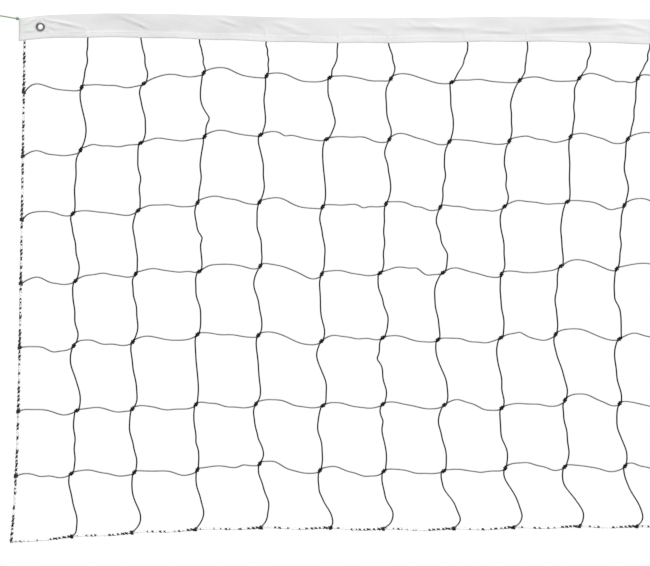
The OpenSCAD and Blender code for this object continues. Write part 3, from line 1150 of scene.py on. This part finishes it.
def make_band_rings(rng):
    """The folded strip as rings along the band: its outside, and its inside a thickness further in."""
    outline, front_count = fold_outline()
    outline = np.array(outline)
    places = band_positions()
    count = len(outline)
    x = np.repeat(places, count)
    depths, heights, freedom = (np.tile(outline[:, i], len(places)) for i in range(3))
    z = BAND_LOW.z + heights
    front = np.tile(np.arange(count) < front_count, len(places))
    creases = scattered_creases(rng, BAND_LOW.x + END_ZONE, BAND_HIGH.x - END_ZONE)
    for name, side, end in (("left_eyelet", -1, BAND_LOW.x), ("right_eyelet", 1, BAND_HIGH.x)):
        place = MOUNTS[name]["pos_m"]
        creases += end_creases(end, side) + eyelet_creases(place[0], place[2], side)
    back_creases = scattered_creases(rng, BAND_LOW.x + 0.05, BAND_HIGH.x - 0.15)
    front_lift = crease_lift(x, z, creases) + twine_lift(x, z, rng)
    lift = np.where(front, front_lift, crease_lift(x, z, back_creases))
    unevenness = 0.0004 * np.sin(x * 41 + z * 60) * np.sin(x * 17)
    wave, rise, fuller = (np.repeat([shift(place) for place in places], count)
                          for shift in (band_wave, end_rise, fullness))
    low = 1 - heights / BAND_HEIGHT
    y = depths + np.where(front, -1.0, 1.0) * freedom * (lift + unevenness)
    z = z + wave + (1 - low) * fuller + low * (rise + 0.0005 * np.sin(x * 57))
    outside = np.stack([x, y, z], 1).reshape(len(places), count, 3)
    tangent = unit(np.gradient(outline[:, :2], axis=0))
    inner = np.unique(np.linspace(0, count - 1, 9).round().astype(int))
    inward = np.stack([np.zeros(len(inner)), tangent[inner, 1], -tangent[inner, 0]], 1)
    inside = outside[:, inner] + VINYL_THICKNESS * inward
    return np.concatenate([outside, inside[:, ::-1]], 1)


def face_outwards(piece):
    """Makes every face of a closed piece point outwards."""
    mesh = bmesh.new()
    mesh.from_mesh(piece.data)
    bmesh.ops.recalc_face_normals(mesh, faces=mesh.faces)
    mesh.to_mesh(piece.data)
    mesh.free()


def closed_piece(points, faces, smooth, name, material, slot):
    """The piece of a closed mesh, with its faces turned outwards."""
    mesh = bpy.data.meshes.new(name)
    mesh.from_pydata(points.reshape(-1, 3).tolist(), [], faces)
    mesh.update()
    piece = finish_mesh(name, mesh, material, slot, smooth)
    face_outwards(piece)
    return piece


def loft(rings, name, material, slot):
    """A closed piece through rings of equal size, with flat ends."""
    length, count = rings.shape[:2]
    index = np.arange(length * count).reshape(length, count)
    after = np.roll(index, -1, axis=1)
    faces = np.stack([index[:-1], index[1:], after[1:], after[:-1]], -1).reshape(-1, 4).tolist()
    faces += [index[0].tolist(), index[-1, ::-1].tolist()]
    return closed_piece(rings, faces, [True] * (len(faces) - 2) + [False] * 2, name, material, slot)


def eyelet_place(name):
    """The eyelet's centre, which follows the band's wave."""
    place = MOUNTS[name]["pos_m"]
    return np.array([place[0], 0.0, place[2] + band_wave(place[0])])


def cut_holes(band):
    """Cuts the round hole for each eyelet through both layers, a little wider than the eyelet's barrel."""
    hole_r, cutter_length = 0.0051, 0.02
    for name in ("left_eyelet", "right_eyelet"):
        bpy.ops.mesh.primitive_cylinder_add(vertices=48, radius=hole_r, depth=cutter_length,
                                            location=eyelet_place(name), rotation=(math.radians(90), 0, 0))
        cutter = bpy.context.object
        hole = band.modifiers.new("hole", "BOOLEAN")
        hole.operation = "DIFFERENCE"
        hole.solver = "EXACT"
        hole.object = cutter
        graph = bpy.context.evaluated_depsgraph_get()
        cut = bpy.data.meshes.new_from_object(band.evaluated_get(graph))
        band.modifiers.clear()
        band.data = cut
        bpy.data.objects.remove(cutter)


def make_headband(rng):
    """The headband, declared as the folded sheet that it is."""
    band = loft(make_band_rings(rng), "headband_vinyl", VINYL, "vinyl")
    cut_holes(band)
    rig.ride(band, "headband")
    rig.replaces(band, "headband")
    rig.sheet(band, flat=(2 * BAND_HEIGHT + HEM_TURN, BAND_LENGTH), held="folded",
             rests_on=["headline_left", "headline_right"])


# ---------- metal and stitching ----------

EYELET_STEPS = 64
# The thickness of the eyelet's sheet metal, and how far from the band's middle its two flanges lie.
METAL_SHEET = 0.0004
FLANGE_DEPTH = 0.0030


def lathe(profile, centre, name):
    """A metal ring turned about an axis along Y. profile is a closed outline of (radius, depth) points."""
    rings = []
    for angle in 2 * math.pi * np.arange(EYELET_STEPS) / EYELET_STEPS:
        rings.append([(r * math.cos(angle), y, r * math.sin(angle)) for r, y in profile])
    index = np.arange(EYELET_STEPS * len(profile)).reshape(EYELET_STEPS, len(profile))
    after, along = np.roll(index, -1, axis=1), np.roll(index, -1, axis=0)
    faces = np.stack([index, after, np.roll(after, -1, axis=0), along], -1).reshape(-1, 4).tolist()
    return closed_piece(np.array(rings) + centre, faces, None, name, METAL, "eyelet_metal")


def rolled_flange(inner, outer, face, bulge):
    """A flange that rolls over onto the band at depth face: its top, from inside out, and its underside."""
    way = math.copysign(1, face)
    middle, half = (inner + outer) / 2, (outer - inner) / 2
    turn = np.radians(np.linspace(180, 0, 13))
    top = [(middle + half * math.cos(a), face + way * bulge * math.sin(a)) for a in turn]
    half_under, bulge_under = half - METAL_SHEET, 0.9 * (bulge - METAL_SHEET)
    under = [(middle + half_under * math.cos(a), face + way * bulge_under * math.sin(a)) for a in turn[::-1]]
    return top, under


def make_eyelet(side):
    """A pressed eyelet with a rolled flange in front, and its washer behind."""
    centre = eyelet_place(f"{side}_eyelet")
    hole = MOUNTS[f"{side}_eyelet"]["dims"]["r_mm"] / 1000
    low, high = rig.box(f"eyelet_{side}")
    outer = (high.x - low.x) / 2
    top, under = rolled_flange(hole, outer, -FLANGE_DEPTH, 0.0012)
    barrel_outside = [(hole + METAL_SHEET, -0.0028), (hole + METAL_SHEET, 0.0036)]
    barrel_lip = [(hole + 0.0012, 0.0042), (hole + 0.0008, 0.0045), (hole, 0.0040)]
    barrel_inside = [(hole - 0.0004, 0.0030), (hole - 0.0004, -0.0008), (hole - 0.0002, -0.0022)]
    eyelet = lathe(under + barrel_outside + barrel_lip + barrel_inside + top, centre, f"eyelet_{side}")
    top, under = rolled_flange(hole + 0.0006, outer, FLANGE_DEPTH, 0.0010)
    washer = lathe(top + under, centre, f"eyelet_washer_{side}")
    for piece, node in ((eyelet, f"eyelet_{side}"), (washer, f"eyelet_washer_{side}")):
        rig.ride(piece, "headband")
        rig.replaces(piece, node)


def make_stitching():
    """The seam along the hem, in front and behind. Each stitch dips into the vinyl at both ends."""
    thread = Strands()
    pitch, gap, margin = 0.0050, 0.0010, 0.004
    above_edge, sunk, proud, thread_r = 0.0091, 0.0022, 0.0028, 0.00028
    for face in (-1, 1):
        for x in np.arange(BAND_LOW.x + margin, BAND_HIGH.x - margin, pitch):
            level = band_edge(x) + above_edge
            stitch = np.linspace((x, face * sunk, level), (x + pitch - gap, face * sunk, level), 4)
            stitch[1:3, 1] = face * proud
            thread.add(rings_along(stitch, (0, 0, 1), thread_r, 4))
    stitching = thread.build("hem_stitching", THREAD, "sewing_thread")
    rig.ride(stitching, "headband")
    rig.replaces(stitching, "hem_stitching")


def make_head_line():
    """The netting's top line, hidden in the fold."""
    strand = Strands()
    line = np.array([(x, 0, HEAD_Z + band_wave(x)) for x in np.linspace(*SIDES_X, 900)])
    strand.add(twine_rings(line))
    head_line = strand.build("head_line", TWINE, "twine")
    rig.ride(head_line, "headband")
    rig.replaces(head_line, "head_twine", "head_loops")


# ---------- light and floor ----------

# How bright the even light from all round is, next to the white that the camera sees behind the net.
AMBIENT = 0.53
FLOOR_SIZE = (30, 12)
FLOOR_GAP = 0.65


def add_light(name, place, aim, size, power):
    """A soft rectangular light that points at aim."""
    data = bpy.data.lights.new(name, "AREA")
    data.shape = "RECTANGLE"
    data.size, data.size_y = size
    data.energy = power
    light = bpy.data.objects.new(name, data)
    light.location = place
    direction = np.asarray(aim, float) - np.asarray(place, float)
    light.rotation_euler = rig.Vector(direction).to_track_quat("-Z", "Y").to_euler()
    bpy.context.collection.objects.link(light)


def add_world():
    """A white backdrop for the camera, and a weaker even light on everything."""
    world = bpy.data.worlds.new("studio")
    world.use_nodes = True
    tree = world.node_tree
    background = tree.nodes["Background"]
    background.inputs["Color"].default_value = (1, 1, 1, 1)
    seen = tree.nodes.new("ShaderNodeLightPath").outputs["Is Camera Ray"]
    strength = tree.nodes.new("ShaderNodeMapRange")
    strength.inputs["To Min"].default_value = AMBIENT
    strength.inputs["To Max"].default_value = 1.0
    tree.links.new(seen, strength.inputs["Value"])
    tree.links.new(strength.outputs["Result"], background.inputs["Strength"])
    bpy.context.scene.world = world
    bpy.context.scene.view_settings.view_transform = "Standard"


def add_surroundings():
    """A white studio: even light all round, long soft lights above and in front, and a pale floor below."""
    add_world()
    middle = (CAD_LOW.x + CAD_HIGH.x) / 2
    add_light("overhead", place=(middle, 0.35, 2.6), aim=(middle, 0.05, 0), size=(13, 1.0), power=310)
    add_light("front", place=(middle, -2.2, 3.0), aim=(middle, 0, 0), size=(13, 0.8), power=284)
    bpy.ops.mesh.primitive_plane_add(size=1, location=(middle, 0, CAD_LOW.z - FLOOR_GAP))
    floor = bpy.context.object
    floor.name = "floor"
    floor.scale = (*FLOOR_SIZE, 1)
    floor.data.materials.append(floor_material())
    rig.stage(floor)


# ---------- the whole net ----------

def stand_for_netting(netting, border, lacing):
    """Says which CAD nodes the soft pieces stand for."""
    for k in range(1, ROWS + 1):
        level = [f"mesh_row_{k}"] if k < ROWS else []
        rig.replaces(netting[k], f"mesh_legs_{k}", f"mesh_knots_{k}", *level)
        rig.replaces(border[k], f"side_cords_{k}")
        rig.replaces(lacing[k], f"side_lacing_{k}")
    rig.replaces(border[ROWS], "bottom_cord")
    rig.replaces(lacing[ROWS], "bottom_lacing")


make_free_cords()
make_headline()
make_headband(random.Random(7))
make_stitching()
make_head_line()
make_eyelet("left")
make_eyelet("right")
netting = make_netting(random.Random(41))
border = make_border()
lacing = make_lacing(random.Random(5))
for pieces in (netting, border, lacing):
    for k, piece in enumerate(pieces):
        bend_at_fold(piece, k)
stand_for_netting(netting, border, lacing)
add_surroundings()

with open("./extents.json", "w") as size_file:
    boxes = {"cad": [list(CAD_LOW), list(CAD_HIGH)], "visual": [list(corner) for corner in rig.bounds()]}
    json.dump(boxes, size_file)
